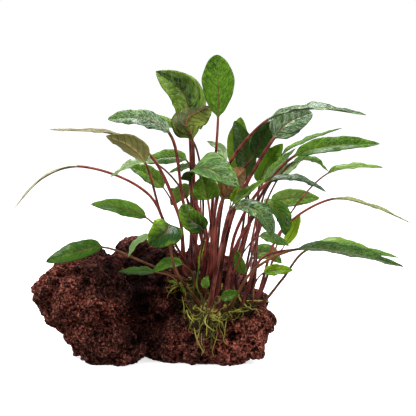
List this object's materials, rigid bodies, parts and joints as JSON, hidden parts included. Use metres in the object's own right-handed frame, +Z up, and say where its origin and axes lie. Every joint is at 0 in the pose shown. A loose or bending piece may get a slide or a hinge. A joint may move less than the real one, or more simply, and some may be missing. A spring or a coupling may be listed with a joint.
{
  "type": "aquarium plant on stone",
  "caption": "Rosette water plant with long-stalked ovate leaves and a mat of fine roots, growing on a lump of porous lava stone that stands on its flat underside.",
  "frame": {"origin": "on the stone's flat underside, below the crowns", "axes": "+X along the object's length, to the right as the plant faces the viewer; +Y away from the viewer; +Z up"},
  "size_m": [0.28, 0.1674, 0.2119],
  "materials": {
    "stone": "rough porous maroon to reddish-brown lava",
    "crown": "rough brown",
    "roots": "matt yellow-green fibres",
    "leaf_dark": "glossy dark green, on a maroon stalk",
    "leaf_mid": "satin mid green, on a maroon stalk",
    "leaf_light": "satin light green, on a maroon stalk",
    "leaf_lime": "satin yellow-green, on a maroon stalk",
    "leaf_pale": "satin pale green, on a maroon stalk",
    "leaf_olive": "matt olive with reddish veins, on a maroon stalk",
    "leaf_silver": "glossy, silvery green where it catches the light, on a maroon stalk",
    "leaf_red": "matt reddish brown, on a maroon stalk"
  },
  "bodies": {
    "root": {"lava_stone": "stone", "crown_front": "crown", "crown_back": "crown", "crown_right": "crown", "root_mat": "roots", "leaf_arching_left": "leaf_olive", "leaf_olive_left": "leaf_olive", "leaf_long_left": "leaf_olive", "leaf_silver_left": "leaf_silver", "leaf_behind_silver": "leaf_mid", "leaf_big_top_left": "leaf_dark", "leaf_cupped_top": "leaf_olive", "leaf_tall": "leaf_mid", "leaf_green_left": "leaf_mid", "leaf_grey_left": "leaf_silver", "leaf_under_grey": "leaf_mid", "leaf_lone_left": "leaf_mid", "leaf_over_stone_left": "leaf_mid", "leaf_heart_front": "leaf_dark", "leaf_edge_left": "leaf_light", "leaf_low_pointed": "leaf_mid", "leaf_low_curled": "leaf_mid", "leaf_folded_left": "leaf_dark", "leaf_glossy_centre": "leaf_dark", "leaf_under_centre": "leaf_dark", "leaf_brown_back": "leaf_red", "leaf_pale_back": "leaf_pale", "leaf_upright_front": "leaf_dark", "leaf_upright_back": "leaf_light", "leaf_dark_right": "leaf_dark", "leaf_mid_right": "leaf_mid", "leaf_quilted_top": "leaf_silver", "leaf_long_top_right": "leaf_silver", "leaf_long_right": "leaf_mid", "leaf_light_right": "leaf_light", "leaf_strip_right": "leaf_silver", "leaf_strip_centre": "leaf_silver", "leaf_under_strip": "leaf_mid", "leaf_drooping_right": "leaf_mid", "leaf_light_far_right": "leaf_light", "leaf_glossy_right": "leaf_silver", "leaf_pale_right": "leaf_light", "leaf_arching_right": "leaf_olive", "leaf_quilted_front": "leaf_silver", "leaf_round_front": "leaf_dark", "leaf_lime_upright": "leaf_lime", "leaf_small_dark": "leaf_dark", "leaf_low_right_back": "leaf_mid", "leaf_low_right_front": "leaf_dark", "leaf_low_right_lime": "leaf_lime", "leaf_lime_low": "leaf_lime", "leaf_young_right": "leaf_dark", "leaf_young_base": "leaf_mid", "leaf_young_pale": "leaf_pale", "leaf_behind_left_low": "leaf_mid", "leaf_behind_left_high": "leaf_mid", "leaf_pale_low_back": "leaf_pale", "leaf_back_left": "leaf_mid", "leaf_back_right": "leaf_mid", "leaf_back_centre": "leaf_dark"}
  },
  "joints": []
}
